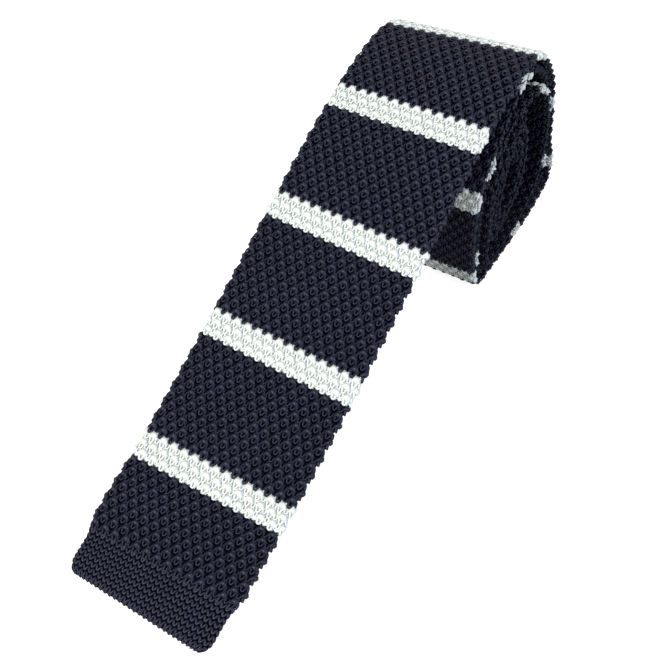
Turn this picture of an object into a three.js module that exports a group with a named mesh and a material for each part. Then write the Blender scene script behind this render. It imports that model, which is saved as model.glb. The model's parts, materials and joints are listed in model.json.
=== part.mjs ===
// A slim knitted tie, square at both ends, kept in a roll.
//
// It is one flattened knitted tube. The tube is knitted in one run, and every change of yarn
// makes a band of its own: a navy band, then a white stripe, and so on up to the plain neck.
// The tie lies as it was put down: the front blade slopes from its tip on the table up to the
// crest of the roll, and from there the tube winds inwards, turn inside turn, to the tail.
//
// Millimetres, +Z up. The roll's axis runs along X and the tip points to -Y. The origin is on
// the table, under the middle of the tie.

import * as THREE from "three";

// Cross-section of the knitted tube.
const TIE_WIDTH = 55;
const HEM_WIDTH = 52;
const NECK_WIDTH = 37;
const TAIL_WIDTH = 46;
const KNIT_THICKNESS = 3;
const HEM_THICKNESS = 2.6;
const CORNER_RADIUS = 5;
const EDGE_STEPS = 3;

// Lengths along the tube.
const HEM_LENGTH = 15;
const HEM_FLARE = 8;
const FIRST_STRIPE = 39.1;
const STRIPE_PITCH = 42.9;
const STRIPE_HEIGHT = 8.9;
const STRIPE_COUNT = 17;
const PLAIN_BLADE = 120;
const TAPER_LENGTH = 90;
const TAIL_SHARE = 0.45;

// The sloping blade, from its tip to the crest of the roll.
const BLADE_RUN = 185;
const BLADE_DRIFT = 6.8;

// The roll.
const ROLL_HEIGHT = 84.4;
const TURN_CLEARANCE = 0.7;
const TURN_DRIFT = 2.5;

// Fits and the fineness of the faces.
const BAND_GAP = 0.3;
const MAX_STEP = 6;
const MAX_BEND = THREE.MathUtils.degToRad(14);
const SEARCH_STEP = 0.25;
const CORNER_STEP = 1.25;
const END_STEP = 0.45;
const SHORTEST_STEP = 1;
const TRACE_STEPS = 24;
const FRAME_REACH = 1.2;

// How flat the closed edge of a hem is: 0 leaves it square, 1 draws it to a point.
const END_ROUNDNESS = 0.8;

const NAVY = 0x15172b;
const WHITE = 0xe9eeec;

// The blade's side profile: run and rise as shares of its run and of the crest's rise above the
// tip, and drift as a share of how far it wanders to the right on the way. It ends on the roll's
// first point, the crest.
const BLADE_PROFILE = [
  { run: 0.0, rise: 0.0, drift: 0.0 },
  { run: 0.23, rise: 0.201, drift: 0.31 },
  { run: 0.45, rise: 0.448, drift: 0.54 },
  { run: 0.66, rise: 0.717, drift: 0.78 },
  { run: 0.8, rise: 0.874, drift: 0.9 },
  { run: 0.9, rise: 0.96, drift: 0.97 },
];

// The roll's shape round its core, in shares of the roll's height. The angle in degrees starts
// straight up and turns backwards and down. Outer is the first turn, which sags into a foot at
// the lower back, second and third are the turns inside it, and core is the slit that stays open.
const ROLL_PROFILE = [
  { angle: 0, outer: 0.55, second: 0.501, third: 0.405, core: 0.178 },
  { angle: 15, outer: 0.557, second: 0.499, third: 0.417, core: 0.148 },
  { angle: 28, outer: 0.523, second: 0.476, third: 0.424, core: 0.118 },
  { angle: 40, outer: 0.495, second: 0.448, third: 0.405, core: 0.095 },
  { angle: 53, outer: 0.476, second: 0.431, third: 0.383, core: 0.077 },
  { angle: 76, outer: 0.479, second: 0.432, third: 0.383, core: 0.065 },
  { angle: 105, outer: 0.575, second: 0.537, third: 0.423, core: 0.065 },
  { angle: 118, outer: 0.724, second: 0.755, third: 0.457, core: 0.071 },
  { angle: 125, outer: 0.729, second: 0.778, third: 0.465, core: 0.077 },
  { angle: 140, outer: 0.581, second: 0.568, third: 0.449, core: 0.095 },
  { angle: 160, outer: 0.489, second: 0.445, third: 0.393, core: 0.124 },
  { angle: 180, outer: 0.453, second: 0.414, third: 0.368, core: 0.142 },
  { angle: 200, outer: 0.494, second: 0.445, third: 0.395, core: 0.118 },
  { angle: 209, outer: 0.488, second: 0.427, third: 0.385, core: 0.101 },
  { angle: 220, outer: 0.445, second: 0.384, third: 0.349, core: 0.083 },
  { angle: 253, outer: 0.369, second: 0.319, third: 0.28, core: 0.053 },
  { angle: 293, outer: 0.447, second: 0.339, third: 0.31, core: 0.059 },
  { angle: 311, outer: 0.394, second: 0.4, third: 0.335, core: 0.077 },
  { angle: 332, outer: 0.462, second: 0.409, third: 0.364, core: 0.118 },
  { angle: 350, outer: 0.505, second: 0.475, third: 0.395, core: 0.16 },
];

// How far the middle of the tube stands to the right of the crest after so many turns, in
// shares of the drift.
const TURN_OFFSETS = [
  { turn: 0, offset: 0 },
  { turn: 1.9, offset: 0 },
  { turn: 2.1, offset: 1 },
  { turn: 2.8, offset: 1 },
  { turn: 3.2, offset: 0.4 },
];

/** Straight-line reading of a table with the columns x and y at the place x. */
function readTable(rows, xName, yName, x) {
  if (x <= rows[0][xName]) {
    return rows[0][yName];
  }
  for (let i = 1; i < rows.length; i += 1) {
    const low = rows[i - 1];
    const high = rows[i];
    if (x <= high[xName]) {
      const share = (x - low[xName]) / (high[xName] - low[xName]);
      return THREE.MathUtils.lerp(low[yName], high[yName], share);
    }
  }
  return rows[rows.length - 1][yName];
}

/** Number of turns in all: two, and as many as find room between the third turn and the core. */
function turnCount() {
  const spacing = KNIT_THICKNESS + TURN_CLEARANCE;
  const room = ROLL_PROFILE.map((row) => (row.third - row.core) * ROLL_HEIGHT);
  return 2 + Math.min(...room) / spacing;
}

/** Height of the tube's middle on the table, lifted by a layer for every full turn. */
function floorHeight(turn) {
  const layers = Math.max(0, Math.floor(turn));
  return KNIT_THICKNESS / 2 + layers * (KNIT_THICKNESS + TURN_CLEARANCE);
}

/** Distance from the core to the tube's middle in one row of the roll's profile. */
function turnRadius(row, turn, turns) {
  if (turn < 1) {
    return THREE.MathUtils.lerp(row.outer, row.second, turn) * ROLL_HEIGHT;
  }
  if (turn < 2) {
    return THREE.MathUtils.lerp(row.second, row.third, turn - 1) * ROLL_HEIGHT;
  }
  const share = (turn - 2) / (turns - 2);
  return THREE.MathUtils.lerp(row.third, row.core, share) * ROLL_HEIGHT;
}

/** Height of the core's middle, at which the outer turn lies on the table straight below it. */
function coreHeight() {
  const below = ROLL_PROFILE.find((row) => row.angle === 180);
  return KNIT_THICKNESS / 2 + THREE.MathUtils.lerp(below.outer, below.second, 0.5) * ROLL_HEIGHT;
}

/** The points that the middle of the tube passes through, from tip to tail. */
function routePoints() {
  const tipHeight = KNIT_THICKNESS / 2;
  const middle = coreHeight();
  const crest = middle + ROLL_PROFILE[0].outer * ROLL_HEIGHT;
  const points = BLADE_PROFILE.map((row) => ({
    turn: -1,
    at: new THREE.Vector3(
      (row.drift - 1) * BLADE_DRIFT,
      (row.run - 1) * BLADE_RUN,
      THREE.MathUtils.lerp(tipHeight, crest, row.rise),
    ),
  }));
  const turns = turnCount();
  for (let whole = 0; whole < turns; whole += 1) {
    for (const row of ROLL_PROFILE) {
      const turn = whole + row.angle / 360;
      if (turn > turns) {
        break;
      }
      const angle = THREE.MathUtils.degToRad(row.angle);
      const radius = turnRadius(row, turn, turns);
      const height = middle + radius * Math.cos(angle);
      const drift = readTable(TURN_OFFSETS, "turn", "offset", turn) * TURN_DRIFT;
      const at = new THREE.Vector3(drift, radius * Math.sin(angle), Math.max(height, floorHeight(turn)));
      points.push({ turn, at });
    }
  }
  return points;
}

/** The tube's middle line as a close row of points, with its length so far at each of them. */
function traceRoute() {
  const points = routePoints();
  const curve = new THREE.CatmullRomCurve3(points.map((point) => point.at), false, "centripetal");
  const spans = points.length - 1;
  const trace = [];
  let length = 0;
  for (let i = 0; i <= spans * TRACE_STEPS; i += 1) {
    const share = i / (spans * TRACE_STEPS);
    const turn = points[Math.min(spans, Math.floor(i / TRACE_STEPS))].turn;
    const at = curve.getPoint(share);
    at.z = Math.max(at.z, floorHeight(turn));
    if (trace.length > 0) {
      length += at.distanceTo(trace[trace.length - 1].at);
    }
    trace.push({ at, length });
  }
  return trace;
}

const ROUTE = traceRoute();
const TIE_LENGTH = ROUTE[ROUTE.length - 1].length;

/** Point of the middle line at a length from the tip. */
function routeAt(length) {
  let low = 0;
  let high = ROUTE.length - 1;
  while (high - low > 1) {
    const middle = Math.floor((low + high) / 2);
    if (ROUTE[middle].length > length) {
      high = middle;
    } else {
      low = middle;
    }
  }
  const span = ROUTE[high].length - ROUTE[low].length;
  const share = (length - ROUTE[low].length) / span;
  return new THREE.Vector3().lerpVectors(ROUTE[low].at, ROUTE[high].at, share);
}

/** The way along, across and out of the tube at a length from the tip. */
function frameAt(length) {
  const along = routeAt(length + FRAME_REACH).sub(routeAt(length - FRAME_REACH)).normalize();
  const across = new THREE.Vector3(1, 0, 0);
  across.addScaledVector(along, -across.dot(along)).normalize();
  const outward = new THREE.Vector3().crossVectors(across, along);
  return { at: routeAt(length), along, across, outward };
}

const STRIPES_END = FIRST_STRIPE + (STRIPE_COUNT - 1) * STRIPE_PITCH + STRIPE_HEIGHT;
const NECK_START = STRIPES_END + PLAIN_BLADE;
const TAIL_START = THREE.MathUtils.lerp(TIE_LENGTH, NECK_START, TAIL_SHARE);

/** Width of the tube at a length from the tip: a drawn-in hem, a slim neck and a wider tail. */
function widthAt(length) {
  const pastHem = length - HEM_LENGTH;
  const flare = THREE.MathUtils.smoothstep(pastHem, -HEM_FLARE / 2, HEM_FLARE / 2);
  const blade = THREE.MathUtils.lerp(HEM_WIDTH, TIE_WIDTH, flare);
  const toNeck = THREE.MathUtils.smoothstep(length, NECK_START, NECK_START + TAPER_LENGTH);
  const toTail = THREE.MathUtils.smoothstep(length, TAIL_START - TAPER_LENGTH, TAIL_START);
  const neck = THREE.MathUtils.lerp(NECK_WIDTH, TAIL_WIDTH, toTail);
  const width = THREE.MathUtils.lerp(blade, neck, toNeck);
  const fromEnd = Math.min(length, TIE_LENGTH - length);
  const inset = Math.max(0, CORNER_RADIUS - fromEnd);
  const cut = CORNER_RADIUS - Math.sqrt(CORNER_RADIUS ** 2 - inset ** 2);
  return width - 2 * cut;
}

/** Thickness of the tube: thinner along the hems, and rounded off where a hem is closed. */
function thicknessAt(length) {
  const fromEnd = Math.min(length, TIE_LENGTH - length);
  const full = fromEnd < HEM_LENGTH ? HEM_THICKNESS : KNIT_THICKNESS;
  const half = full / 2;
  const inset = Math.max(0, half - fromEnd) / half;
  return full * Math.sqrt(1 - END_ROUNDNESS * inset ** 2);
}

/** Outline of the flattened tube at a length from the tip: how far across and how far out. */
function sectionPoints(length) {
  const half = thicknessAt(length) / 2;
  const flat = widthAt(length) / 2 - half;
  const outline = [];
  for (const side of [1, -1]) {
    outline.push({ across: 0, out: side * half });
    for (let i = 0; i <= EDGE_STEPS; i += 1) {
      const angle = (Math.PI * i) / EDGE_STEPS;
      outline.push({ across: side * (flat + half * Math.sin(angle)), out: side * half * Math.cos(angle) });
    }
  }
  return outline;
}

/** Longest way to the next section: short at the rounded ends, long elsewhere. */
function longestStep(length) {
  const fromEnd = Math.min(length, TIE_LENGTH - length);
  if (fromEnd <= HEM_THICKNESS / 2) {
    return END_STEP;
  }
  return fromEnd <= CORNER_RADIUS ? CORNER_STEP : MAX_STEP;
}

/** Lengths at which the tube gets a section: close together where it bends, wide apart where not. */
function stations(start, end) {
  const places = [start];
  let last = frameAt(start);
  let lastLength = start;
  for (let length = start + SEARCH_STEP; length < end - SEARCH_STEP; length += SEARCH_STEP) {
    const here = frameAt(length);
    const bend = here.along.angleTo(last.along);
    if (bend >= MAX_BEND || length - lastLength >= longestStep(length)) {
      places.push(length);
      last = here;
      lastLength = length;
    }
  }
  if (end - lastLength < SHORTEST_STEP && places.length > 1) {
    places.pop();
  }
  places.push(end);
  return places;
}

/** One closed length of the tube, between two lengths from the tip. */
function tubeGeometry(start, end) {
  const places = stations(start, end);
  const positions = [];
  for (const length of places) {
    const { at, across, outward } = frameAt(length);
    for (const point of sectionPoints(length)) {
      const corner = at.clone().addScaledVector(across, point.across).addScaledVector(outward, point.out);
      positions.push(corner.x, corner.y, corner.z);
    }
  }
  const ring = sectionPoints(start).length;
  const faces = [];
  for (let i = 0; i + 1 < places.length; i += 1) {
    for (let j = 0; j < ring; j += 1) {
      const a = i * ring + j;
      const b = i * ring + ((j + 1) % ring);
      faces.push(a, b, a + ring, b, b + ring, a + ring);
    }
  }
  const last = (places.length - 1) * ring;
  for (let j = 1; j + 1 < ring; j += 1) {
    faces.push(0, j + 1, j);
    faces.push(last, last + j, last + j + 1);
  }
  const geometry = new THREE.BufferGeometry();
  geometry.setAttribute("position", new THREE.Float32BufferAttribute(positions, 3));
  geometry.setIndex(faces);
  geometry.computeVertexNormals();
  return geometry;
}

/** A named length of the tube in one yarn. */
function knitBand(name, start, end, colour) {
  const material = new THREE.MeshStandardMaterial({ color: colour, roughness: 0.85, metalness: 0 });
  const mesh = new THREE.Mesh(tubeGeometry(start, end - BAND_GAP), material);
  mesh.name = name;
  return mesh;
}

/** The hem, navy bands and white stripes of the front blade, from its tip up. */
function makeBlade(tie) {
  tie.add(knitBand("front_hem", 0, HEM_LENGTH, NAVY));
  let start = HEM_LENGTH;
  for (let i = 0; i < STRIPE_COUNT; i += 1) {
    const number = String(i + 1).padStart(2, "0");
    const stripe = FIRST_STRIPE + i * STRIPE_PITCH;
    tie.add(knitBand(`navy_band_${number}`, start, stripe, NAVY));
    start = stripe + STRIPE_HEIGHT;
    tie.add(knitBand(`white_stripe_${number}`, stripe, start, WHITE));
  }
}

/** The plain inner length: the rest of the blade, the neck band and the tail with its hem. */
function makeNeckAndTail(tie) {
  tie.add(knitBand("plain_blade", STRIPES_END, NECK_START, NAVY));
  tie.add(knitBand("neck_band", NECK_START, TAIL_START, NAVY));
  tie.add(knitBand("tail", TAIL_START, TIE_LENGTH - HEM_LENGTH, NAVY));
  tie.add(knitBand("tail_hem", TIE_LENGTH - HEM_LENGTH, TIE_LENGTH + BAND_GAP, NAVY));
}

const tie = new THREE.Group();
makeBlade(tie);
makeNeckAndTail(tie);

const box = new THREE.Box3().setFromObject(tie);
const middle = box.getCenter(new THREE.Vector3());
tie.position.set(-middle.x, -middle.y, -box.min.z);

export default tie;
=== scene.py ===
"""A slim knitted tie, square at both ends, that lies in a roll with its front blade down on the table.

The tie is one flattened knitted tube. Its route runs from the tip of the front blade over the crest of
the roll and winds inwards to the tail. A smooth ground follows the whole route, and each band of the
tube is knitted onto it stitch by stitch: bumps with a hood and a hole, links between the bumps, plain
vees in the hems and a rim that closes each end. Everything is in metres.
"""

import json
import logging
import math
from dataclasses import dataclass, field
from enum import Enum

import bpy
import numpy as np
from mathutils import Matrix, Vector

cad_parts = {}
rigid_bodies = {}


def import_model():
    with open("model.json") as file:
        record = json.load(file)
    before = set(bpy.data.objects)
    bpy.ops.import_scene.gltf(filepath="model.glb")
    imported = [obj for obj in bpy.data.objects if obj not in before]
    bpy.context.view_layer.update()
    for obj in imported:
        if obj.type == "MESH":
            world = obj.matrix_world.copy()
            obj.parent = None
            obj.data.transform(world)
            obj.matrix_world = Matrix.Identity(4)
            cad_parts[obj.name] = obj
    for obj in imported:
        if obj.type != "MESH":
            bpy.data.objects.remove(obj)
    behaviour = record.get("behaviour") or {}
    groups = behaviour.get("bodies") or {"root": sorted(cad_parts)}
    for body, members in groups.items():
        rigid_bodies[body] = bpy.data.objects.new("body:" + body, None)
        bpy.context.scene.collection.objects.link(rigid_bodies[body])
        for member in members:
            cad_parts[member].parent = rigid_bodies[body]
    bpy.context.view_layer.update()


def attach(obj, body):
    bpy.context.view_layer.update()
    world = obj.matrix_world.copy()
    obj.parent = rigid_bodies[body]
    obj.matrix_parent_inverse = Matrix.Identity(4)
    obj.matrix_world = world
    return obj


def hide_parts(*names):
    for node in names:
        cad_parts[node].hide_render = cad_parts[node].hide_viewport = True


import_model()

MM = 0.001
BODY = "root"
Colour = tuple[float, float, float]

log = logging.getLogger("knit_tie")


@dataclass(frozen=True)
class TieSizes:
    """The tie's own measures, in metres."""

    width: float = 55 * MM
    hem_width: float = 52 * MM
    neck_width: float = 37 * MM
    tail_width: float = 46 * MM
    thickness: float = 3 * MM
    hem_thickness: float = 2.6 * MM
    corner_radius: float = 5 * MM
    hem_length: float = 15 * MM
    hem_flare: float = 8 * MM
    first_stripe: float = 39.1 * MM
    stripe_pitch: float = 42.9 * MM
    stripe_height: float = 8.9 * MM
    stripe_count: int = 17
    plain_blade: float = 120 * MM
    taper_length: float = 90 * MM
    tail_share: float = 0.45
    blade_run: float = 185 * MM
    blade_drift: float = 6.8 * MM
    roll_height: float = 84.4 * MM
    turn_clearance: float = 0.7 * MM
    turn_drift: float = 2.5 * MM
    end_roundness: float = 0.8
    yarn_depth: float = 0.58 * MM

    @property
    def stripes_end(self) -> float:
        """Length from the tip at which the last stripe ends."""
        return self.first_stripe + (self.stripe_count - 1) * self.stripe_pitch + self.stripe_height

    @property
    def neck_start(self) -> float:
        """Length from the tip at which the blade starts to narrow."""
        return self.stripes_end + self.plain_blade


@dataclass(frozen=True)
class BladeRow:
    """A place on the blade: shares of its run, of the crest's rise and of its drift."""

    run: float
    rise: float
    drift: float


@dataclass(frozen=True)
class RollRow:
    """The roll's reach in one direction, in shares of its height, for its turns and its core."""

    angle: float
    outer: float
    second: float
    third: float
    core: float


@dataclass(frozen=True)
class TurnOffset:
    """How far to the right the tube has wandered after so many turns, as a share of the drift."""

    turn: float
    offset: float


BLADE_PROFILE = (
    BladeRow(0.0, 0.0, 0.0),
    BladeRow(0.23, 0.201, 0.31),
    BladeRow(0.45, 0.448, 0.54),
    BladeRow(0.66, 0.717, 0.78),
    BladeRow(0.8, 0.874, 0.9),
    BladeRow(0.9, 0.96, 0.97),
)

ROLL_PROFILE = (
    RollRow(0, 0.55, 0.501, 0.405, 0.178),
    RollRow(15, 0.546, 0.497, 0.417, 0.148),
    RollRow(28, 0.503, 0.468, 0.424, 0.118),
    RollRow(40, 0.482, 0.445, 0.405, 0.095),
    RollRow(53, 0.476, 0.431, 0.383, 0.077),
    RollRow(76, 0.479, 0.432, 0.383, 0.065),
    RollRow(105, 0.575, 0.537, 0.423, 0.065),
    RollRow(118, 0.724, 0.755, 0.457, 0.071),
    RollRow(125, 0.729, 0.778, 0.465, 0.077),
    RollRow(140, 0.581, 0.568, 0.449, 0.095),
    RollRow(160, 0.489, 0.445, 0.393, 0.124),
    RollRow(180, 0.453, 0.414, 0.368, 0.142),
    RollRow(200, 0.494, 0.445, 0.395, 0.118),
    RollRow(209, 0.488, 0.427, 0.385, 0.101),
    RollRow(220, 0.445, 0.384, 0.349, 0.083),
    RollRow(253, 0.369, 0.319, 0.28, 0.053),
    RollRow(293, 0.447, 0.339, 0.31, 0.059),
    RollRow(311, 0.394, 0.4, 0.335, 0.077),
    RollRow(332, 0.462, 0.409, 0.364, 0.118),
    RollRow(350, 0.505, 0.475, 0.395, 0.16),
)

TURN_OFFSETS = (
    TurnOffset(0, 0),
    TurnOffset(0.15, 0.25),
    TurnOffset(0.3, 0.45),
    TurnOffset(0.35, 0.7),
    TurnOffset(0.39, 1),
    TurnOffset(0.45, 0.8),
    TurnOffset(0.6, 0.2),
    TurnOffset(0.75, 0),
    TurnOffset(1.9, 0),
    TurnOffset(2.1, 1),
    TurnOffset(2.8, 1),
    TurnOffset(3.3, 2),
)


@dataclass(frozen=True)
class UnevenRow:
    """At a length from the tip: how far the right edge runs ahead, a lean to the right, and a bank."""

    length: float
    skew: float
    lean: float
    bank: float = 0.0


UNEVEN_ROWS = (
    UnevenRow(0.0, 0.6 * MM, 0.7 * MM),
    UnevenRow(14 * MM, 2.2 * MM, 0.5 * MM),
    UnevenRow(27 * MM, 2.2 * MM, 0.0),
    UnevenRow(39 * MM, 1.7 * MM, 0.0),
    UnevenRow(49 * MM, 0.9 * MM, 0.0),
    UnevenRow(80 * MM, 0.0, 0.0),
    UnevenRow(140 * MM, 0.0, 0.0, 0.01),
    UnevenRow(170 * MM, 1.1 * MM, -0.3 * MM, 0.035),
    UnevenRow(200 * MM, 2.7 * MM, -0.4 * MM, 0.065),
    UnevenRow(225 * MM, 3.2 * MM, 0.0, 0.065),
    UnevenRow(255 * MM, 1.5 * MM, 0.0, 0.02),
    UnevenRow(290 * MM, 0.0, 0.0),
    UnevenRow(430 * MM, 0.0, 0.0),
    UnevenRow(465 * MM, 0.0, 0.0, 0.05),
    UnevenRow(490 * MM, 0.0, 0.0, 0.05),
    UnevenRow(530 * MM, 0.0, 0.0),
)


def lerp(low: float, high: float, share: float) -> float:
    """The value at a share of the way from low to high."""
    return low + (high - low) * share


def smoothstep(value: np.ndarray, low: float, high: float) -> np.ndarray:
    """A smooth rise from 0 at low to 1 at high."""
    share = np.clip((value - low) / (high - low), 0.0, 1.0)
    return share * share * (3 - 2 * share)


def curve_through(points: np.ndarray, steps: int) -> np.ndarray:
    """Samples of a centripetal Catmull-Rom curve.

    Args:
        points: the places it passes through, one row each.
        steps: the number of samples for each span.

    Returns:
        The samples and the last place, one row each.
    """
    before = 2 * points[0] - points[1]
    after = 2 * points[-1] - points[-2]
    padded = np.vstack([before, points, after])
    rows = []
    for p0, p1, p2, p3 in zip(padded, padded[1:], padded[2:], padded[3:]):
        spans = ((p0, p1), (p1, p2), (p2, p3))
        d0, d1, d2 = (math.sqrt(max(np.linalg.norm(b - a), 1e-9)) for a, b in spans)
        start = ((p1 - p0) / d0 - (p2 - p0) / (d0 + d1) + (p2 - p1) / d1) * d1
        end = ((p2 - p1) / d1 - (p3 - p1) / (d1 + d2) + (p3 - p2) / d2) * d1
        for t in np.arange(steps) / steps:
            cubic = (2 * p1 - 2 * p2 + start + end) * t**3
            square = (-3 * p1 + 3 * p2 - 2 * start - end) * t**2
            rows.append(cubic + square + start * t + p1)
    rows.append(points[-1])
    return np.array(rows)


def unit(vectors: np.ndarray) -> np.ndarray:
    """The vectors, one a row, at length one."""
    return vectors / np.linalg.norm(vectors, axis=-1, keepdims=True)


def smooth_mesh(name: str, vertices: np.ndarray, faces: list[tuple[int, ...]]) -> bpy.types.Mesh:
    """A new mesh with smooth faces."""
    mesh = bpy.data.meshes.new(name)
    mesh.from_pydata(vertices.tolist(), [], faces)
    mesh.polygons.foreach_set("use_smooth", [True] * len(mesh.polygons))
    mesh.update()
    return mesh


def add_object(name: str, data: bpy.types.ID) -> bpy.types.Object:
    """A new object, linked into the scene."""
    made = bpy.data.objects.new(name, data)
    bpy.context.scene.collection.objects.link(made)
    return made


def face(thing: bpy.types.Object, place: Vector, way: Vector) -> None:
    """Puts a camera or a lamp at a place, so that it looks one way."""
    thing.location = place
    thing.rotation_mode = "QUATERNION"
    thing.rotation_quaternion = way.to_track_quat("-Z", "Y")


@dataclass
class TieRoute:
    """The middle line of the tube from the tip to the tail, and the tube's section on the way."""

    sizes: TieSizes
    trace_steps: int = 24
    frame_reach: float = 1.2 * MM
    corner_power: int = 3
    least_seat: float = 0.1 * MM
    places: np.ndarray = field(init=False)
    lengths: np.ndarray = field(init=False)

    def __post_init__(self) -> None:
        """Traces the route and stands it on the table, with the middle of its box at the origin."""
        rows, turns = self.knots()
        traced = curve_through(rows, self.trace_steps)
        span_turns = np.append(np.repeat(turns[:-1], self.trace_steps), turns[-1])
        traced[:, 2] = np.maximum(traced[:, 2], self.floor_height(span_turns))
        self.places = traced
        steps = np.linalg.norm(np.diff(traced, axis=0), axis=1)
        self.lengths = np.concatenate([[0.0], np.cumsum(steps)])
        self.places = traced - self.middle_of_box()

    @property
    def total(self) -> float:
        """The tie's whole length."""
        return float(self.lengths[-1])

    @property
    def tail_start(self) -> float:
        """Length from the tip at which the tail has its full width."""
        return lerp(self.total, self.sizes.neck_start, self.sizes.tail_share)

    def floor_height(self, turn: np.ndarray) -> np.ndarray:
        """Height of the middle line on the table, lifted by a layer for every full turn."""
        layers = np.maximum(0, np.floor(turn))
        return self.sizes.thickness / 2 + layers * (self.sizes.thickness + self.sizes.turn_clearance)

    def turn_radius(self, row: RollRow, turn: float, turns: float) -> float:
        """Distance of the middle line from the core, in one row of the roll's profile."""
        if turn < 1:
            return lerp(row.outer, row.second, turn) * self.sizes.roll_height
        if turn < 2:
            return lerp(row.second, row.third, turn - 1) * self.sizes.roll_height
        return lerp(row.third, row.core, (turn - 2) / (turns - 2)) * self.sizes.roll_height

    def knots(self) -> tuple[np.ndarray, np.ndarray]:
        """The places that the middle line passes through.

        Returns:
            The places, one row each, and the turn that each one belongs to, -1 on the blade.
        """
        s = self.sizes
        spacing = s.thickness + s.turn_clearance
        turns = 2 + min((row.third - row.core) * s.roll_height for row in ROLL_PROFILE) / spacing
        below = next(row for row in ROLL_PROFILE if row.angle == 180)
        middle = s.thickness / 2 + lerp(below.outer, below.second, 0.5) * s.roll_height
        crest = middle + ROLL_PROFILE[0].outer * s.roll_height
        rows = []
        for row in BLADE_PROFILE:
            height = lerp(s.thickness / 2, crest, row.rise)
            rows.append(((row.drift - 1) * s.blade_drift, (row.run - 1) * s.blade_run, height))
        marks = [-1.0] * len(rows)
        offset_turns = [row.turn for row in TURN_OFFSETS]
        offset_shares = [row.offset for row in TURN_OFFSETS]
        for whole in range(math.ceil(turns)):
            for row in ROLL_PROFILE:
                turn = whole + row.angle / 360
                if turn > turns:
                    break
                angle = math.radians(row.angle)
                radius = self.turn_radius(row, turn, turns)
                drift = np.interp(turn, offset_turns, offset_shares) * s.turn_drift
                height = max(middle + radius * math.cos(angle), float(self.floor_height(turn)))
                rows.append((drift, radius * math.sin(angle), height))
                marks.append(turn)
        return np.array(rows), np.array(marks)

    def middle_of_box(self) -> np.ndarray:
        """The middle of the solid tube's box in plan, at the height of its lowest point."""
        at, _, across, outward = self.frames(self.lengths)
        half_width = self.width_at(self.lengths)[:, None] / 2
        half_thick = self.thickness_at(self.lengths)[:, None] / 2
        sides = [at + across * half_width, at - across * half_width]
        flats = half_width - half_thick
        faces = [at + across * flats * i + outward * half_thick * k for i in (-1, 1) for k in (-1, 1)]
        corners = np.vstack(sides + faces)
        low, high = corners.min(axis=0), corners.max(axis=0)
        return np.array([(low[0] + high[0]) / 2, (low[1] + high[1]) / 2, low[2]])

    def at(self, length: np.ndarray) -> np.ndarray:
        """Places of the middle line at lengths from the tip, carried on straight past both ends."""
        inside = np.clip(length, 0, self.total)
        place = np.stack([np.interp(inside, self.lengths, self.places[:, k]) for k in range(3)], axis=-1)
        head = (self.places[1] - self.places[0]) / (self.lengths[1] - self.lengths[0])
        foot = (self.places[-1] - self.places[-2]) / (self.lengths[-1] - self.lengths[-2])
        before = np.minimum(length, 0)[..., None] * head
        after = np.maximum(length - self.total, 0)[..., None] * foot
        return place + before + after

    def frames(self, length: np.ndarray) -> tuple[np.ndarray, np.ndarray, np.ndarray, np.ndarray]:
        """Place, way along, way across and way out of the tube at lengths from the tip."""
        along = unit(self.at(length + self.frame_reach) - self.at(length - self.frame_reach))
        across = np.zeros_like(along)
        across[..., 0] = 1
        across = unit(across - along * along[..., :1])
        return self.at(length), along, across, np.cross(across, along)

    def from_end(self, length: np.ndarray) -> np.ndarray:
        """Distance to the nearer end of the tie."""
        return np.minimum(length, self.total - length)

    def full_width_at(self, length: np.ndarray) -> np.ndarray:
        """Width of the flattened tube as if its ends had no rounded corners."""
        s = self.sizes
        flare = smoothstep(length - s.hem_length, -s.hem_flare / 2, s.hem_flare / 2)
        blade = lerp(s.hem_width, s.width, flare)
        to_neck = smoothstep(length, s.neck_start, s.neck_start + s.taper_length)
        to_tail = smoothstep(length, self.tail_start - s.taper_length, self.tail_start)
        return lerp(blade, lerp(s.neck_width, s.tail_width, to_tail), to_neck)

    def width_at(self, length: np.ndarray) -> np.ndarray:
        """Width of the flattened tube, with its ends' rounded corners."""
        s = self.sizes
        inset = np.clip(s.corner_radius - self.from_end(length), 0, s.corner_radius)
        return self.full_width_at(length) - 2 * (s.corner_radius - np.sqrt(s.corner_radius**2 - inset**2))

    def thickness_at(self, length: np.ndarray) -> np.ndarray:
        """Thickness of the tube at lengths from the tip, rounded off at its closed ends."""
        s = self.sizes
        full = np.where(self.from_end(length) < s.hem_length, s.hem_thickness, s.thickness)
        inset = np.clip(1 - self.from_end(length) / (full / 2), 0, 1)
        return full * np.sqrt(1 - s.end_roundness * inset**2)

    def seat_radius(self, length: np.ndarray) -> np.ndarray:
        """Distance from the middle of the flattened tube to the middle of its yarn."""
        return np.maximum(self.thickness_at(length) / 2 - self.sizes.yarn_depth, self.least_seat)

    def edge_share(self, length: np.ndarray) -> np.ndarray:
        """Share of the way round that half a rounded edge takes up."""
        seat = self.seat_radius(length)
        flat = self.full_width_at(length) / 2 - self.thickness_at(length) / 2
        return math.pi * seat / 2 / (4 * flat + 2 * math.pi * seat)

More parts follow.
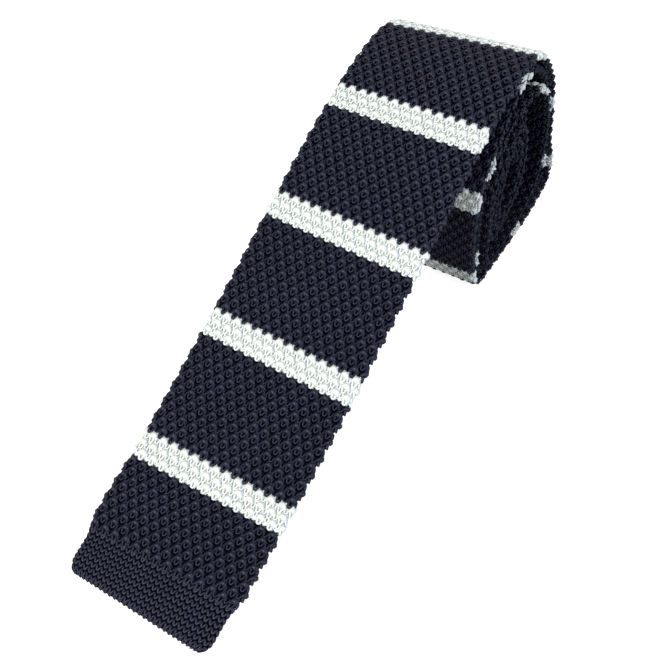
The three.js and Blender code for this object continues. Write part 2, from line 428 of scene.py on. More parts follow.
    def wrap(self, length: np.ndarray, share: np.ndarray, height: np.ndarray) -> np.ndarray:
        """Lays flat knitting round the tube.

        Args:
            length: lengths from the tip.
            share: shares of the way round. 0 is the left edge, 0.5 the right edge, and between them
                lies the outer face.
            height: heights above the middle of the yarn.

        Returns:
            The places, one row each.
        """
        seat = self.seat_radius(length)
        full = self.full_width_at(length)
        flat = full / 2 - self.thickness_at(length) / 2
        share = share % 1.0
        run = (share % 0.5) * (4 * flat + 2 * math.pi * seat) - math.pi * seat / 2
        level = np.clip(run, 0, 2 * flat)
        turned = (run - level) / seat
        back = np.where(share >= 0.5, -1.0, 1.0)
        sideways = back * (level - flat + (seat + height) * np.sin(turned))
        upright = back * (seat + height) * np.cos(turned)
        beside = np.clip(2 * sideways / full, -1, 1)
        sideways = sideways * (1 - (1 - self.width_at(length) / full) * np.abs(beside) ** self.corner_power)
        marks, *tables = zip(*((row.length, row.skew, row.lean, row.bank) for row in UNEVEN_ROWS))
        skew, lean, bank = (np.interp(length, marks, table) for table in tables)
        at, _, across, outward = self.frames(length + skew * beside / 2)
        upright = upright + bank * sideways
        return at + across * (sideways + lean)[:, None] + outward * upright[:, None]


class Loop(Enum):
    """The kinds of stitch."""

    BUMP = 0
    LINK = 1
    VEE = 2
    RIM = 3


class Detail(Enum):
    """How finely a stitch is made: the spacing of its rings in millimetres, and their sides."""

    FINE = (0.55, 5)
    PLAIN = (0.9, 4)
    COARSE = (1.2, 3)


class Mirror(Enum):
    """How a strand's right half is made whole: joined to its mirror image, or paired with it."""

    JOINED = 0
    PAIR = 1


@dataclass(frozen=True)
class Knot:
    """A place on a strand, in millimetres: across, along and out, and its half width and depth."""

    across: float
    along: float
    out: float
    wide: float
    deep: float


@dataclass(frozen=True)
class Strand:
    """One run of yarn in a stitch. Its knots go from the right end to the middle."""

    half: tuple[Knot, ...]
    mirror: Mirror = Mirror.JOINED
    curve_steps: int = 6

    def runs(self, spacing: float, plumpness: float) -> list[np.ndarray]:
        """The strand's runs in metres, with a row for each ring of vertices."""
        right = np.array([(k.across, k.along, k.out, k.wide, k.deep) for k in self.half])
        right[:, 3:] *= plumpness
        left = right * (-1, 1, 1, 1, 1)
        whole = [np.vstack([left[:-1], right[::-1]])] if self.mirror is Mirror.JOINED else [left, right]
        return [self.spaced(curve_through(run, self.curve_steps), spacing) * MM for run in whole]

    @staticmethod
    def spaced(run: np.ndarray, spacing: float) -> np.ndarray:
        """The run with its rings evenly spaced."""
        steps = np.linalg.norm(np.diff(run[:, :3], axis=0), axis=1)
        lengths = np.concatenate([[0.0], np.cumsum(steps)])
        count = max(2, round(lengths[-1] / spacing))
        marks = np.linspace(0, lengths[-1], count + 1)
        return np.stack([np.interp(marks, lengths, run[:, k]) for k in range(run.shape[1])], axis=1)


RING = Strand(
    (
        Knot(0.52, 0.55, -0.06, 0.27, 0.24),
        Knot(0.6, 0.0, 0.0, 0.31, 0.28),
        Knot(0.52, -0.5, 0.05, 0.29, 0.28),
        Knot(0.29, -0.92, 0.07, 0.26, 0.27),
        Knot(0.0, -1.08, 0.08, 0.26, 0.26),
    ),
)
CAP = Strand(
    (
        Knot(0.96, -0.3, -0.32, 0.18, 0.18),
        Knot(1.06, 0.32, -0.15, 0.34, 0.24),
        Knot(0.7, 0.98, 0.05, 0.72, 0.34),
        Knot(0.0, 1.2, 0.28, 0.96, 0.44),
    ),
)
SPIKE = Strand(
    (
        Knot(0.42, 1.2, 0.06, 0.46, 0.3),
        Knot(0.62, 1.8, 0.08, 0.4, 0.27),
        Knot(0.74, 2.42, -0.06, 0.14, 0.14),
    ),
    Mirror.PAIR,
)
LINK = Strand(
    (
        Knot(0.3, 2.0, -0.36, 0.2, 0.2),
        Knot(0.52, 1.55, -0.02, 0.22, 0.24),
        Knot(0.5, 1.0, 0.12, 0.24, 0.25),
        Knot(0.32, 0.42, 0.16, 0.25, 0.26),
        Knot(0.0, 0.22, 0.16, 0.28, 0.27),
    ),
)
VEE = Strand(
    (
        Knot(0.9, 0.92, -0.14, 0.34, 0.26),
        Knot(0.56, 0.32, 0.04, 0.42, 0.28),
        Knot(0.22, -0.38, 0.02, 0.36, 0.26),
        Knot(0.0, -0.58, -0.08, 0.34, 0.24),
    ),
)
RIM = Strand(
    (
        Knot(0.6, 0.95, 0.0, 0.34, 0.3),
        Knot(0.42, 0.2, 0.04, 0.4, 0.32),
        Knot(0.0, -0.3, -0.2, 0.36, 0.36),
    ),
)
LOOP_STRANDS = {Loop.BUMP: (RING, CAP, SPIKE), Loop.LINK: (LINK,), Loop.VEE: (VEE,), Loop.RIM: (RIM,)}


@dataclass
class MeshParts:
    """Vertices, faces and UVs that grow into one mesh."""

    vertices: list[np.ndarray] = field(default_factory=list)
    faces: list[tuple[int, ...]] = field(default_factory=list)
    uvs: list[tuple[float, float]] = field(default_factory=list)
    count: int = 0

    def add_tube(self, run: np.ndarray, sides: int) -> None:
        """Adds a run of yarn.

        Args:
            run: the yarn's middle, half width and half depth, one row for each ring of vertices.
            sides: the number of vertices in a ring.
        """
        path = run[:, :3]
        way = unit(np.gradient(path, axis=0))
        side = unit(np.cross(way, (0.0, 0.0, 1.0)))
        lift = np.cross(side, way)
        angles = 2 * math.pi * np.arange(sides) / sides + math.pi / 2
        wide = side[:, None] * np.cos(angles)[:, None] * run[:, 3, None, None]
        deep = lift[:, None] * np.sin(angles)[:, None] * run[:, 4, None, None]
        rings = path[:, None] + wide + deep
        start = self.count
        self.vertices.append(rings.reshape(-1, 3))
        self.count += len(run) * sides
        lengths = np.concatenate([[0.0], np.cumsum(np.linalg.norm(np.diff(path, axis=0), axis=1))])
        for i in range(len(run) - 1):
            here = start + i * sides
            there = here + sides
            for j in range(sides):
                k = (j + 1) % sides
                self.faces.append((here + j, there + j, there + k, here + k))
                near, far = lengths[i], lengths[i + 1]
                low, high = j / sides, (j + 1) / sides
                self.uvs += [(near, low), (far, low), (far, high), (near, high)]
        end = start + (len(run) - 1) * sides
        self.faces.append(tuple(start + j for j in range(sides)))
        self.faces.append(tuple(end + sides - 1 - j for j in range(sides)))
        self.uvs += [(0.0, 0.0)] * sides + [(float(lengths[-1]), 0.0)] * sides

    def to_mesh(self, name: str) -> bpy.types.Mesh:
        """The finished mesh, smooth, with its UV map."""
        mesh = smooth_mesh(name, np.vstack(self.vertices), self.faces)
        layer = mesh.uv_layers.new(name="UVMap")
        layer.data.foreach_set("uv", np.array(self.uvs, dtype=np.float32).ravel())
        return mesh


@dataclass(frozen=True)
class YarnFinish:
    """A yarn's plumpness and look: its deep and lit colours, roughness, gloss and twist. The deep colour is
    the yarn painted in shade and the lit colour the yarn painted in light.
    """

    name: str
    plumpness: float
    deep: Colour
    lit: Colour
    roughness: float
    gloss: float
    twist_depth: float


# Each yarn has a painted-shade colour and a painted-light colour, which its twist mixes.
NAVY = YarnFinish("navy_yarn", 1.0, (0.0028, 0.0032, 0.0085), (0.0115, 0.0125, 0.028), 0.4, 0.24, 0.35)
WHITE = YarnFinish("white_yarn", 1.15, (0.51, 0.535, 0.495), (0.59, 0.615, 0.57), 0.7, 0.2, 0.25)


@dataclass
class StitchBox:
    """A yarn's unit stitches, one object for each kind and detail, for the node tree to pick from."""

    yarn: YarnFinish
    collection: bpy.types.Collection = field(init=False)

    def __post_init__(self) -> None:
        """Makes every stitch at the origin, flat on the plane that the knitting is laid out on."""
        self.collection = bpy.data.collections.new(f"{self.yarn.name}_stitches")
        bpy.context.scene.collection.children.link(self.collection)
        for loop in Loop:
            for detail in Detail:
                self.collection.objects.link(self.stitch(loop, detail))

    @staticmethod
    def index(loop: Loop, detail: Detail) -> int:
        """The place of a stitch in the collection, which lists its objects by name."""
        return loop.value * len(Detail) + list(Detail).index(detail)

    def stitch(self, loop: Loop, detail: Detail) -> bpy.types.Object:
        """One unit stitch as an object."""
        spacing, sides = detail.value
        parts = MeshParts()
        for strand in LOOP_STRANDS[loop]:
            for run in strand.runs(spacing, self.yarn.plumpness):
                parts.add_tube(run, sides)
        name = f"{self.yarn.name}_{self.index(loop, detail):02d}"
        return bpy.data.objects.new(name, parts.to_mesh(name))

    def remove(self) -> None:
        """Takes the unit stitches out of the file."""
        for piece in list(self.collection.objects):
            mesh = piece.data
            bpy.data.objects.remove(piece)
            bpy.data.meshes.remove(mesh)
        bpy.data.collections.remove(self.collection)


class Socket(Enum):
    """The kinds of socket that the trees have."""

    GEOMETRY = "NodeSocketGeometry"
    COLLECTION = "NodeSocketCollection"
    MATERIAL = "NodeSocketMaterial"
    FLOAT = "NodeSocketFloat"
    INT = "NodeSocketInt"


class TreeMaker:
    """Small help for writing a node tree: adds its sockets and nodes, and links them."""

    def __init__(self, tree: bpy.types.NodeTree) -> None:
        """Takes the tree to write."""
        self.tree = tree

    def sockets(self, way: str, kinds: dict[str, Socket]) -> bpy.types.Node:
        """Adds the tree's named inputs or outputs, and returns the node that stands for them."""
        for name, kind in kinds.items():
            self.tree.interface.new_socket(name, in_out=way, socket_type=kind.value)
        return self.node("NodeGroupInput" if way == "INPUT" else "NodeGroupOutput")

    def node(
        self, kind: str, inputs: dict[str | int, object] | None = None, **settings: object
    ) -> bpy.types.Node:
        """A new node.

        Args:
            kind: its Blender type.
            inputs: the values or sockets that feed its inputs, by name or by place.
            settings: its properties.

        Returns:
            The node.
        """
        made = self.tree.nodes.new(kind)
        for name, value in settings.items():
            setattr(made, name, value)
        self.feed(made, inputs or {})
        return made

    def feed(self, node: bpy.types.Node, inputs: dict[str | int, object]) -> None:
        """Feeds a node's inputs with values or with other nodes' sockets."""
        for key, value in inputs.items():
            if isinstance(value, bpy.types.NodeSocket):
                self.tree.links.new(value, node.inputs[key])
            else:
                node.inputs[key].default_value = value

    def math(self, operation: str, *values: object) -> bpy.types.NodeSocket:
        """The result of a math node. Its inputs are numbers or sockets."""
        return self.node("ShaderNodeMath", dict(enumerate(values)), operation=operation).outputs[0]


def new_material(
    name: str, roughness: float, gloss: float
) -> tuple[bpy.types.Material, TreeMaker, bpy.types.Node]:
    """A new material, the maker of its tree, and its shader."""
    material = bpy.data.materials.new(name)
    material.use_nodes = True
    shader = material.node_tree.nodes["Principled BSDF"]
    shader.inputs["Roughness"].default_value = roughness
    shader.inputs["Specular IOR Level"].default_value = gloss
    return material, TreeMaker(material.node_tree), shader


@dataclass
class KnittingTree:
    """The node tree that sets a unit stitch on every point and makes them one mesh."""

    tree: bpy.types.NodeTree = field(init=False)

    def __post_init__(self) -> None:
        """Writes the tree."""
        self.tree = bpy.data.node_groups.new("knitting", "GeometryNodeTree")
        self.tree.is_modifier = True
        maker = TreeMaker(self.tree)
        given = maker.sockets(
            "INPUT",
            {
                "Geometry": Socket.GEOMETRY,
                "Stitches": Socket.COLLECTION,
                "Yarn": Socket.MATERIAL,
                "Shift": Socket.FLOAT,
                "Swing": Socket.FLOAT,
                "Swell": Socket.FLOAT,
                "Seed": Socket.INT,
            },
        )
        result = maker.sockets("OUTPUT", {"Geometry": Socket.GEOMETRY})
        box = maker.node(
            "GeometryNodeCollectionInfo",
            {
                "Collection": given.outputs["Stitches"],
                "Separate Children": True,
                "Reset Children": True,
            },
        )
        mover = maker.node(
            "GeometryNodeSetPosition",
            {"Geometry": given.outputs["Geometry"], "Offset": self.shaken(maker, given, "Shift", 2)},
        )
        setter = maker.node(
            "GeometryNodeInstanceOnPoints",
            {
                "Points": mover.outputs[0],
                "Instance": box.outputs[0],
                "Pick Instance": True,
                "Instance Index": self.attribute(maker, "stitch", "INT"),
                "Rotation": self.turned(maker, given),
                "Scale": self.swollen(maker, given),
            },
        )
        real = maker.node("GeometryNodeRealizeInstances", {0: setter.outputs[0]})
        dyed = maker.node(
            "GeometryNodeSetMaterial",
            {"Geometry": real.outputs[0], "Material": given.outputs["Yarn"]},
        )
        maker.feed(result, {0: dyed.outputs[0]})

    @staticmethod
    def attribute(maker: TreeMaker, name: str, kind: str) -> bpy.types.NodeSocket:
        """The value of a named attribute of the points."""
        made = maker.node("GeometryNodeInputNamedAttribute", {"Name": name}, data_type=kind)
        return made.outputs["Attribute"]

    @staticmethod
    def shaken(maker: TreeMaker, given: bpy.types.Node, reach: str, salt: float) -> bpy.types.NodeSocket:
        """A random offset for each point, up to the named input in each way."""
        inputs = {"Seed": maker.math("ADD", given.outputs["Seed"], salt)}
        for slot, sign in enumerate((-1, 1)):
            ends = {0: (sign, sign, sign), "Scale": given.outputs[reach]}
            inputs[slot] = maker.node("ShaderNodeVectorMath", ends, operation="SCALE").outputs[0]
        return maker.node("FunctionNodeRandomValue", inputs, data_type="FLOAT_VECTOR").outputs[0]

    def turned(self, maker: TreeMaker, given: bpy.types.Node) -> bpy.types.NodeSocket:
        """The turn of a stitch in the fabric, with a little swing of its own."""
        turns = {0: self.attribute(maker, "turn", "FLOAT_VECTOR"), 1: self.shaken(maker, given, "Swing", 0)}
        total = maker.node("ShaderNodeVectorMath", turns, operation="ADD")
        return maker.node("FunctionNodeEulerToRotation", {0: total.outputs[0]}).outputs[0]

    def swollen(self, maker: TreeMaker, given: bpy.types.Node) -> bpy.types.NodeSocket:
        """The scale of a stitch, with a little swell of its own."""
        limits = {
            2: maker.math("SUBTRACT", 1.0, given.outputs["Swell"]),
            3: maker.math("ADD", 1.0, given.outputs["Swell"]),
            "Seed": maker.math("ADD", given.outputs["Seed"], 1.0),
        }
        swell = maker.node("FunctionNodeRandomValue", limits, data_type="FLOAT")
        sizes = {0: self.attribute(maker, "size", "FLOAT_VECTOR"), "Scale": swell.outputs[1]}
        return maker.node("ShaderNodeVectorMath", sizes, operation="SCALE").outputs[0]

    def set_inputs(self, modifier: bpy.types.Modifier, values: dict[str, object]) -> None:
        """Sets the modifier's named inputs by their sockets' identifiers."""
        for item in self.tree.interface.items_tree:
            if item.item_type == "SOCKET" and item.in_out == "INPUT" and item.name in values:
                modifier[item.identifier] = values[item.name]


@dataclass(frozen=True)
class Stitch:
    """A run of stitches side by side: their kind, length from the tip, wales, height and turn."""

    loop: Loop
    length: float
    wales: np.ndarray
    height: float
    turn: float = 0.0


@dataclass(frozen=True)
class Gauge:
    """How the tie is knitted: wales round the tube, rows to a stripe, and each stitch's own size.

    The first row of a navy band dips into the white row below by a taller bump, so that the stripe
    ends in teeth. The links lie low between the bumps, but not in a white stripe's first row.
    """

    wales: int = 56
    stripe_rows: int = 3
    navy_rows: int = 12
    first_navy_rows: int = 9
    first_parity: int = 1
    hem_rows: int = 8
    wale: float = 1.95 * MM
    row: float = 2.8 * MM
    hem_row: float = 1.65 * MM
    hem_room: float = 1.0 * MM
    rim_share: float = 0.75
    first_line: float = 0.34
    dip: float = 0.3 * MM
    dipped: float = 1.3
    link_drop: float = 0.95 * MM
    shift: float = 0.05 * MM
    swing: float = math.radians(3)
    swell: float = 0.03
    edge_lift: float = 1.5
    ground_depth: float = 0.3 * MM


@dataclass(frozen=True)
class Cover:
    """Up to a length from the tip, how many wales from each edge are knitted on each face."""

    until: float
    outer: int
    inner: int
    outer_detail: Detail
    inner_detail: Detail


ALL_WALES = 99
COVERS = (
    Cover(215 * MM, ALL_WALES, ALL_WALES, Detail.FINE, Detail.COARSE),
    Cover(345 * MM, ALL_WALES, 6, Detail.PLAIN, Detail.PLAIN),
    Cover(480 * MM, ALL_WALES, 5, Detail.PLAIN, Detail.COARSE),
    Cover(900 * MM, 3, 6, Detail.COARSE, Detail.COARSE),
    Cover(9.0, 2, 4, Detail.COARSE, Detail.COARSE),
)


@dataclass
class Band:
    """One band of the tube: its name, the CAD piece it stands for, its yarn and its stitches."""

    name: str
    slot: str
    stitches: list[Stitch] = field(default_factory=list)


@dataclass
class Knitter:
    """Works out every stitch of the tie and knits the bands."""

    route: TieRoute
    gauge: Gauge
    tree: KnittingTree
    boxes: dict[str, StitchBox]
    seed: int = 11

    def every_other(self, parity: int) -> np.ndarray:
        """The wales of one parity."""
        return np.arange(parity % 2, self.gauge.wales, 2)

    def add_rows(self, band: Band, start: float, end: float, rows: int, parity: int) -> int:
        """Adds evenly spaced rows of bumps with links between them.

        Args:
            band: the band that they belong to.
            start: the length from the tip at which they start.
            end: the length at which they end.
            rows: the number of rows.
            parity: 0 or 1, for the wales that carry the first row's bumps.

        Returns:
            The parity of the next row.
        """
        g = self.gauge
        height = (end - start) / rows
        tall = height / g.row
        for i in range(rows):
            line = start + (i + g.first_line) * height
            dips = i == 0 and band.slot == "navy_yarn"
            shows = i == 0 and band.slot == "white_yarn"
            bump = (line - g.dip, tall * g.dipped) if dips else (line, tall)
            link = line if shows else line - g.link_drop
            band.stitches.append(Stitch(Loop.BUMP, bump[0], self.every_other(parity + i), bump[1]))
            band.stitches.append(Stitch(Loop.LINK, link, self.every_other(parity + i + 1), tall))
        return parity + rows

    def add_hem(self, band: Band, start: float, end: float) -> None:
        """Adds the plain rows of a hem, which starts or ends at a closed end of the tie."""
        rows = self.gauge.hem_rows
        at_tip = start == 0
        room = self.gauge.hem_room
        low, high = (room, end) if at_tip else (start, end - room)
        height = (high - low) / rows
        every = np.arange(self.gauge.wales)
        for i in range(rows):
            middle = low + (i + 0.5) * height
            band.stitches.append(Stitch(Loop.VEE, middle, every, height / self.gauge.hem_row))
        inset = self.gauge.rim_share * room
        rim = inset if at_tip else end - inset
        band.stitches.append(Stitch(Loop.RIM, rim, every, 1.0, 0.0 if at_tip else math.pi))

    def bands(self) -> list[Band]:
        """All bands from the tip to the tail, with their stitches."""
        s, g, route = self.route.sizes, self.gauge, self.route
        navy = [Band(f"navy_band_{i + 1:02d}", "navy_yarn") for i in range(s.stripe_count)]
        white = [Band(f"white_stripe_{i + 1:02d}", "white_yarn") for i in range(s.stripe_count)]
        names = ("front_hem", "plain_blade", "neck_band", "tail", "tail_hem")
        hem, plain, neck, tail, tail_hem = (Band(name, "navy_yarn") for name in names)
        self.add_hem(hem, 0.0, s.hem_length)
        parity = g.first_parity
        start = s.hem_length
        for i in range(s.stripe_count):
            stripe = s.first_stripe + i * s.stripe_pitch
            rows = g.navy_rows if i else g.first_navy_rows
            parity = self.add_rows(navy[i], start, stripe, rows, parity)
            start = stripe + s.stripe_height
            parity = self.add_rows(white[i], stripe, start, g.stripe_rows, parity)
        ends = (s.neck_start, route.tail_start, route.total - s.hem_length)
        for band, end in zip((plain, neck, tail), ends):
            rows = round((end - start) / g.row)
            parity = self.add_rows(band, start, end, rows, parity)
            start = end
        self.add_hem(tail_hem, start, route.total)
        return [hem, *(band for pair in zip(navy, white) for band in pair), plain, neck, tail, tail_hem]

    def kept(self, stitch: Stitch) -> tuple[np.ndarray, np.ndarray]:
        """The wales of a run that show, and which unit stitch each one takes."""
        per_face = self.gauge.wales // 2
        cover = next(c for c in COVERS if stitch.length <= c.until)
        inner = stitch.wales > per_face
        on_face = stitch.wales % per_face
        from_edge = np.minimum(on_face, per_face - on_face)
        shown = from_edge < np.where(inner, cover.inner, cover.outer)
        picks = np.where(
            inner,
            StitchBox.index(stitch.loop, cover.inner_detail),
            StitchBox.index(stitch.loop, cover.outer_detail),
        )
        return stitch.wales[shown], picks[shown]

    def flat_points(self, band: Band) -> bpy.types.Mesh:
        """The band's stitches as points on a plane: across is the way round, up is the length."""
        places, turns, sizes, picks = [], [], [], []
        for stitch in band.stitches:
            wales, picked = self.kept(stitch)
            level = np.full(len(wales), 1.0)
            places.append(np.stack([wales * self.gauge.wale, level * stitch.length, level * 0], axis=1))
            turns.append(np.stack([level * 0, level * 0, level * stitch.turn], axis=1))
            on_edge = (wales % (self.gauge.wales // 2) == 0) & (stitch.loop is Loop.BUMP)
            lift = np.where(on_edge, self.gauge.edge_lift, 1.0)
            sizes.append(np.stack([level, level * stitch.height, lift], axis=1))
            picks.append(picked)
        mesh = bpy.data.meshes.new(band.name)
        mesh.from_pydata(np.vstack(places).tolist(), [], [])
        for name, values in (("turn", turns), ("size", sizes)):
            made = mesh.attributes.new(name, "FLOAT_VECTOR", "POINT")
            made.data.foreach_set("vector", np.vstack(values).astype(np.float32).ravel())
        made = mesh.attributes.new("stitch", "INT", "POINT")
        made.data.foreach_set("value", np.concatenate(picks).astype(np.int32))
        return mesh

    def wrap(self, mesh: bpy.types.Mesh) -> None:
        """Lays a flat knitted mesh round the tube."""
        flat = np.empty(3 * len(mesh.vertices), dtype=np.float32)
        mesh.vertices.foreach_get("co", flat)
        flat = flat.reshape(-1, 3).astype(float)
        share = flat[:, 0] / (self.gauge.wales * self.gauge.wale)
        laid = self.route.wrap(flat[:, 1], share, flat[:, 2])
        mesh.vertices.foreach_set("co", laid.astype(np.float32).ravel())
        mesh.update()

    def knit(self, band: Band, yarn: bpy.types.Material, number: int) -> bpy.types.Object:
        """The band's knitted mesh as a finished piece."""
        host = add_object("points", self.flat_points(band))
        modifier = host.modifiers.new("knitting", "NODES")
        modifier.node_group = self.tree.tree
        values = {
            "Stitches": self.boxes[band.slot].collection,
            "Yarn": yarn,
            "Shift": self.gauge.shift,
            "Swing": self.gauge.swing,
            "Swell": self.gauge.swell,
            "Seed": self.seed + number,
        }
        self.tree.set_inputs(modifier, values)
        bpy.context.view_layer.update()
        evaluated = host.evaluated_get(bpy.context.evaluated_depsgraph_get())
        mesh = bpy.data.meshes.new_from_object(evaluated)
        mesh.name = f"{band.name}_knit"
        points = host.data
        bpy.data.objects.remove(host)
        bpy.data.meshes.remove(points)
        for name in ("turn", "size", "stitch"):
            if name in mesh.attributes:
                mesh.attributes.remove(mesh.attributes[name])
        self.wrap(mesh)
        return add_object(mesh.name, mesh)


@dataclass
class Ground:
    """The smooth inside of the tube, which shows between the stitches."""

    route: TieRoute
    gauge: Gauge
    step: float = 2.5 * MM
    fade: float = 0.15 * MM
    end_step: float = 0.6 * MM
    end_stations: int = 8
    deepest: float = 0.8
    edge_sides: int = 4
    face_sides: int = 4

    def stations(self) -> np.ndarray:
        """Lengths of the sections: even, with a pair at each change of yarn and more at the ends."""
        s = self.route.sizes
        starts = s.first_stripe + np.arange(s.stripe_count) * s.stripe_pitch
        changes = np.concatenate([starts, starts + s.stripe_height])
        room = self.end_step
        even = np.arange(room, self.route.total - room, self.step)
        corner = room + np.arange(1, self.end_stations) * self.end_step
        ends = np.concatenate([corner, self.route.total - corner, [self.route.total - room]])
        marks = np.concatenate([even, changes - self.fade, changes + self.fade, ends])
        marks = np.unique(np.round(marks, 6))
        keep = np.concatenate([[True], np.diff(marks) > self.fade])
        return marks[keep]

    def ring(self, length: float) -> np.ndarray:
        """One section of the ground, from the left edge over the outer face and back."""
        at = np.array([length])
        edge = float(self.route.edge_share(at)[0])
        rounded = np.linspace(-edge, edge, self.edge_sides + 1)
        level = np.linspace(edge, 0.5 - edge, self.face_sides + 1)[1:-1]
        shares = np.concatenate([rounded, level, rounded + 0.5, level + 0.5])
        depth = min(self.gauge.ground_depth, self.deepest * float(self.route.seat_radius(at)[0]))
        return self.route.wrap(np.full(len(shares), length), shares, np.full(len(shares), -depth))

    def make(self, material: bpy.types.Material) -> bpy.types.Object:
        """The ground as one closed piece."""
        lengths = self.stations()
        rings = [self.ring(length) for length in lengths]
        n = len(rings[0])
        faces = [
            (i * n + j, i * n + (j + 1) % n, (i + 1) * n + (j + 1) % n, (i + 1) * n + j)
            for i in range(len(lengths) - 1)
            for j in range(n)
        ]
        last = (len(lengths) - 1) * n
        faces.append(tuple(n - 1 - j for j in range(n)))
        faces.append(tuple(last + j for j in range(n)))
        mesh = smooth_mesh("knit_ground", np.vstack(rings), faces)
        pale = mesh.attributes.new("pale", "FLOAT", "POINT")
        pale.data.foreach_set("value", np.repeat(self.paleness(lengths), n).astype(np.float32))
        mesh.materials.append(material)
        return add_object("knit_ground", mesh)

    def paleness(self, lengths: np.ndarray) -> np.ndarray:
        """One where the yarn is white, and nought elsewhere."""
        s = self.route.sizes
        past = (lengths - s.first_stripe) % s.stripe_pitch
        inside = (lengths > s.first_stripe) & (lengths < s.stripes_end + self.fade)
        return (inside & (past < s.stripe_height)).astype(float)


class YarnShader:
    """The shared node group that gives a yarn its twist and fibre, with painted light on the crests of its
    plies and fibres and painted shade in their grooves, and the yarns' materials.
    """

    ply_length: float = 0.55 * MM
    fibre_scale: float = 6000.0
    patch_scale: float = 90.0
    plies: float = 2.0
    fibre_detail: float = 3.0
    patch_detail: float = 2.0
    fibre_height: float = 0.6
    relief_shade: float = 0.35
    patch_tone: float = 0.5
    twist_height: float = 0.08 * MM
    ground_scale: float = 1500.0
    ground_height: float = 0.2 * MM
    ground_relief: float = 0.5
    ground_roughness: float = 0.95
    # Painted shade and light in the gaps: the ground under the navy is darkened to half the navy's deep
    # colour, and the ground under the white is lifted above the white's deep colour.
    ground_navy_shade: float = 0.5
    ground_white_light: float = 1.3

    def __init__(self) -> None:
        """Writes the node group."""
        self.group = bpy.data.node_groups.new("yarn_twist", "ShaderNodeTree")
        maker = TreeMaker(self.group)
        scales = ("Ply Length", "Fibre Scale", "Patch Scale")
        given = maker.sockets("INPUT", dict.fromkeys(scales, Socket.FLOAT))
        result = maker.sockets("OUTPUT", dict.fromkeys(("Height", "Tone"), Socket.FLOAT))
        uv = maker.node("ShaderNodeUVMap", uv_map="UVMap")
        parts = maker.node("ShaderNodeSeparateXYZ", {0: uv.outputs[0]})
        run = maker.math("DIVIDE", parts.outputs["X"], given.outputs["Ply Length"])
        phase = maker.math("MULTIPLY_ADD", parts.outputs["Y"], self.plies, run)
        wave = maker.math("SINE", maker.math("MULTIPLY", phase, 2 * math.pi))
        ply = maker.math("MULTIPLY_ADD", wave, 0.5, 0.5)
        fibre = self.noise(maker, given.outputs["Fibre Scale"], self.fibre_detail)
        patch = self.noise(maker, given.outputs["Patch Scale"], self.patch_detail)
        # Painted light and shade: the plies and fibres are lighter where they stand high and darker in
        # their grooves, and the patches add a random tone.
        height = maker.math("MULTIPLY_ADD", fibre, self.fibre_height, ply)
        fibre_shade = maker.math("MULTIPLY", fibre, self.relief_shade)
        mixed = maker.math("MULTIPLY_ADD", ply, self.relief_shade, fibre_shade)
        shade_and_tone = maker.math("MULTIPLY_ADD", patch, self.patch_tone, mixed)
        maker.feed(result, {"Height": height, "Tone": shade_and_tone})

    @staticmethod
    def noise(
        maker: TreeMaker, scale: bpy.types.NodeSocket | float, detail: float
    ) -> bpy.types.NodeSocket:
        """A noise over the piece's own coordinates."""
        place = maker.node("ShaderNodeTexCoord").outputs["Object"]
        inputs = {"Vector": place, "Scale": scale, "Detail": detail}
        return maker.node("ShaderNodeTexNoise", inputs).outputs[0]

    @staticmethod
    def bump(
        maker: TreeMaker, height: bpy.types.NodeSocket, strength: float, reach: float
    ) -> bpy.types.NodeSocket:
        """The normal that a height gives."""
        inputs = {"Height": height, "Strength": strength, "Distance": reach}
        return maker.node("ShaderNodeBump", inputs).outputs[0]

    def material(self, finish: YarnFinish) -> bpy.types.Material:
        """A yarn's material, whose colour runs from painted shade in the grooves to painted light on the
        crests.
        """
        material, maker, shader = new_material(finish.name, finish.roughness, finish.gloss)
        scales = {
            "Ply Length": self.ply_length,
            "Fibre Scale": self.fibre_scale,
            "Patch Scale": self.patch_scale,
        }
        twist = maker.node("ShaderNodeGroup", scales, node_tree=self.group)
        colour = self.mixed(maker, twist.outputs["Tone"], finish.deep, finish.lit)
        normal = self.bump(maker, twist.outputs["Height"], finish.twist_depth, self.twist_height)
        maker.feed(shader, {"Base Color": colour, "Normal": normal})
        return material

    @staticmethod
    def mixed(
        maker: TreeMaker, factor: bpy.types.NodeSocket, low: Colour, high: Colour
    ) -> bpy.types.NodeSocket:
        """A mix from one colour to the other."""
        inputs = {"Factor": factor, "A": (*low, 1), "B": (*high, 1)}
        return maker.node("ShaderNodeMix", inputs, data_type="RGBA").outputs["Result"]

    def ground(self) -> bpy.types.Material:
        """The ground's material: each yarn's deep colour, where that yarn is, darkened under the navy as
        painted shade in the holes between the stitches and lightened under the white as painted light in
        its gaps.
        """
        material, maker, shader = new_material("knit_ground", self.ground_roughness, 0.0)
        pale = maker.node("ShaderNodeAttribute", attribute_name="pale")
        navy = tuple(self.ground_navy_shade * c for c in NAVY.deep)
        white = tuple(self.ground_white_light * c for c in WHITE.deep)
        colour = self.mixed(maker, pale.outputs["Fac"], navy, white)
        noise = self.noise(maker, self.ground_scale, self.patch_detail)
        normal = self.bump(maker, noise, self.ground_relief, self.ground_height)
        maker.feed(shader, {"Base Color": colour, "Normal": normal})
        return material


@dataclass(frozen=True)
class SoftLight:
    """A square soft light that faces the origin: its place, its side, its power and its colour."""

    name: str
    place: tuple[float, float, float]
    side: float
    power: float
    colour: Colour


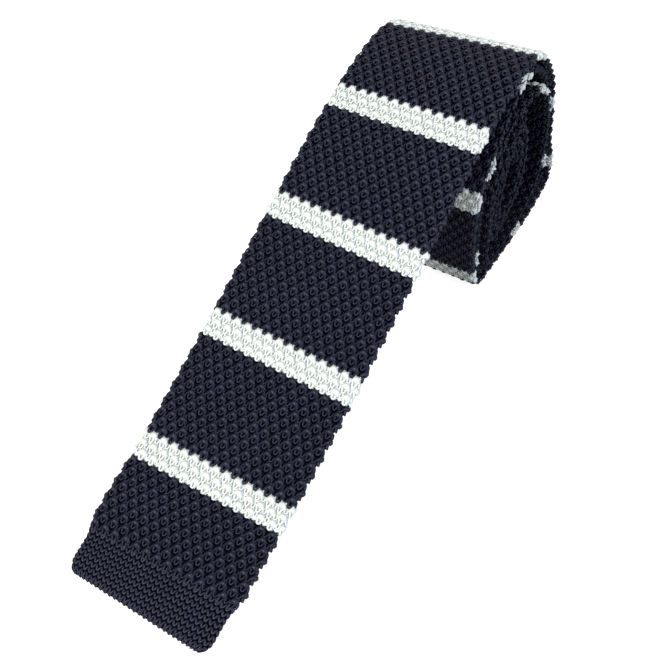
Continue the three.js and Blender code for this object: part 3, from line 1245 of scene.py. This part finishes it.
@dataclass
class Studio:
    """The pale floor, the soft lights and the camera at the photo's angle."""

    azimuth: float = math.radians(29.68)
    elevation: float = math.radians(50.16)
    distance: float = 0.300
    target: tuple[float, float, float] = (4.33 * MM, -19.06 * MM, 28.5 * MM)
    lens: float = 49.97
    floor_side: float = 6.0
    floor_colour: Colour = (0.5, 0.5, 0.5)
    floor_glow: float = 0.8
    surround: float = 0.74
    lights: tuple[SoftLight, ...] = (
        SoftLight("front_light", (-0.45, -0.9, 0.85), 0.8, 20.0, (1.0, 1.0, 1.0)),
        SoftLight("side_light", (0.9, -0.15, 0.5), 0.5, 8.0, (0.68, 0.78, 1.0)),
    )

    def set_up(self) -> None:
        """Makes the whole studio."""
        self.make_camera()
        self.make_floor()
        self.make_lights()

    def make_camera(self) -> None:
        """The camera, where the photo was taken from."""
        data = bpy.data.cameras.new("camera")
        data.lens = self.lens
        data.sensor_width = 36
        data.clip_start = 0.01
        camera = add_object("camera", data)
        flat = math.cos(self.elevation)
        aside, ahead = math.sin(self.azimuth), math.cos(self.azimuth)
        back = Vector((aside * flat, -ahead * flat, math.sin(self.elevation)))
        face(camera, Vector(self.target) + back * self.distance, -back)
        bpy.context.scene.camera = camera

    def make_floor(self) -> None:
        """The floor, which isn't part of the tie. Only the camera sees its glow, which lights nothing."""
        side = self.floor_side / 2
        mesh = bpy.data.meshes.new("floor")
        corners = [(-side, -side, 0), (side, -side, 0), (side, side, 0), (-side, side, 0)]
        mesh.from_pydata(corners, [], [(0, 1, 2, 3)])
        material, maker, shader = new_material("floor", 1.0, 0.0)
        seen = maker.node("ShaderNodeLightPath").outputs["Is Camera Ray"]
        glow = maker.math("MULTIPLY", seen, self.floor_glow)
        floor = {"Base Color": (*self.floor_colour, 1), "Emission Color": (1, 1, 1, 1)}
        maker.feed(shader, {**floor, "Emission Strength": glow})
        mesh.materials.append(material)
        add_object("floor", mesh)

    def make_lights(self) -> None:
        """The soft lights, and an even white surround."""
        for light in self.lights:
            data = bpy.data.lights.new(light.name, "AREA")
            data.size = light.side
            data.energy = light.power
            data.color = light.colour
            place = Vector(light.place)
            face(add_object(light.name, data), place, -place)
        world = bpy.data.worlds.new("surround")
        world.use_nodes = True
        sky = world.node_tree.nodes["Background"]
        sky.inputs["Color"].default_value = (1, 1, 1, 1)
        sky.inputs["Strength"].default_value = self.surround
        scene = bpy.context.scene
        scene.world = world
        scene.view_settings.view_transform = "Standard"


@dataclass
class KnitTie:
    """The whole tie: its ground and its knitted bands."""

    route: TieRoute
    gauge: Gauge
    area_samples: int = 800

    def build(self) -> None:
        """Makes every piece, and says what it rides on, replaces and is made of."""
        shader = YarnShader()
        yarns = {finish.name: shader.material(finish) for finish in (NAVY, WHITE)}
        boxes = {finish.name: StitchBox(finish) for finish in (NAVY, WHITE)}
        knitter = Knitter(self.route, self.gauge, KnittingTree(), boxes)
        for number, band in enumerate(knitter.bands()):
            piece = knitter.knit(band, yarns[band.slot], number)
            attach(piece, BODY)
            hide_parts(band.name)
            log.info("%s: %d faces", piece.name, len(piece.data.polygons))
        for box in boxes.values():
            box.remove()
        ground = Ground(self.route, self.gauge).make(shader.ground())
        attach(ground, BODY)
        self.flat_area()
        log.info("%s: %d faces", ground.name, len(ground.data.polygons))

    def flat_area(self) -> float:
        """The area of the tie laid flat."""
        lengths = np.linspace(0, self.route.total, self.area_samples)
        return float(np.mean(self.route.width_at(lengths)) * self.route.total)


def main() -> None:
    """Builds the studio and the tie."""
    logging.basicConfig(level=logging.INFO, format="%(name)s %(message)s")
    Studio().set_up()
    route = TieRoute(TieSizes())
    log.info("the tie is %.3f m long", route.total)
    KnitTie(route, Gauge()).build()


if __name__ == "__main__":
    main()
